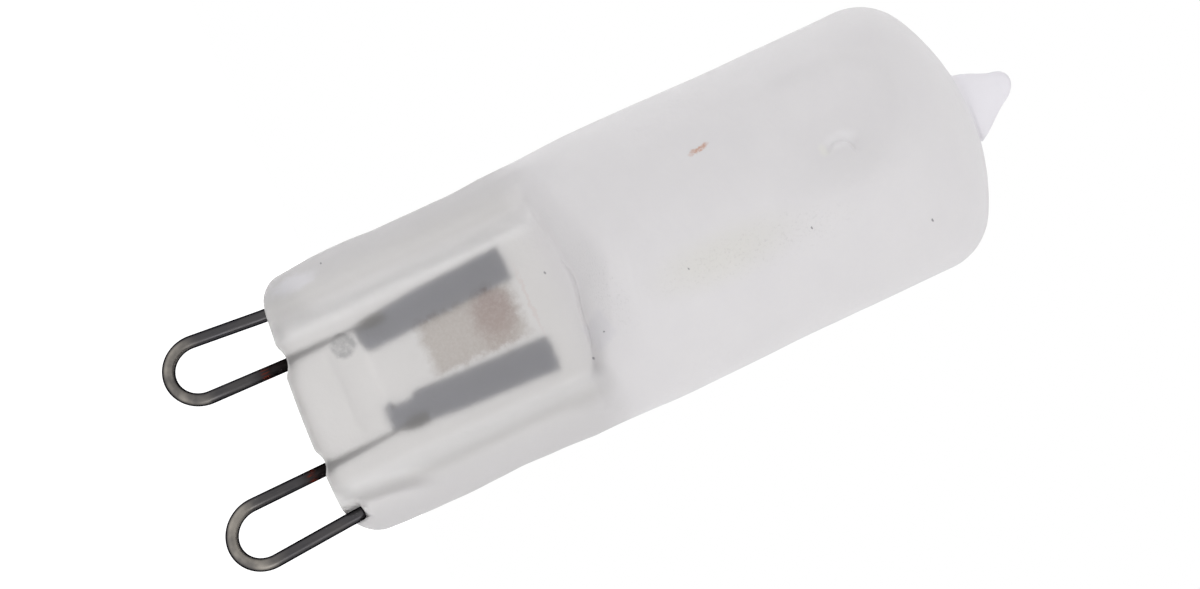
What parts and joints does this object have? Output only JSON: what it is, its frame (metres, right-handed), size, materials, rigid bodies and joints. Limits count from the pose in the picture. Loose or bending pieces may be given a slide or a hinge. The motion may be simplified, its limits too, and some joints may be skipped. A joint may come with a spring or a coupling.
{
  "type": "halogen bulb",
  "caption": "Small frosted halogen capsule bulb with a flat pressed seal and looped wire contacts for a push-in lamp holder.",
  "frame": {"origin": "middle of the seal's end, where a lamp holder stops the glass, between the contact loops", "axes": "+Z along the bulb from its contacts to its rounded end, X across the flat seal in the line of the contacts, Y through the seal; the dented side and the open groove of the right contact face -Y"},
  "size_m": [0.0148, 0.0148, 0.0466],
  "materials": {
    "frosted_quartz": "frosted",
    "nickel_wire": "tarnished",
    "molybdenum_foil": "matt rolled foil"
  },
  "bodies": {
    "root": {"glass_envelope": "frosted_quartz", "contact_loop_left": "nickel_wire", "contact_loop_right": "nickel_wire", "foil_left": "molybdenum_foil", "foil_right": "molybdenum_foil"}
  },
  "joints": []
}
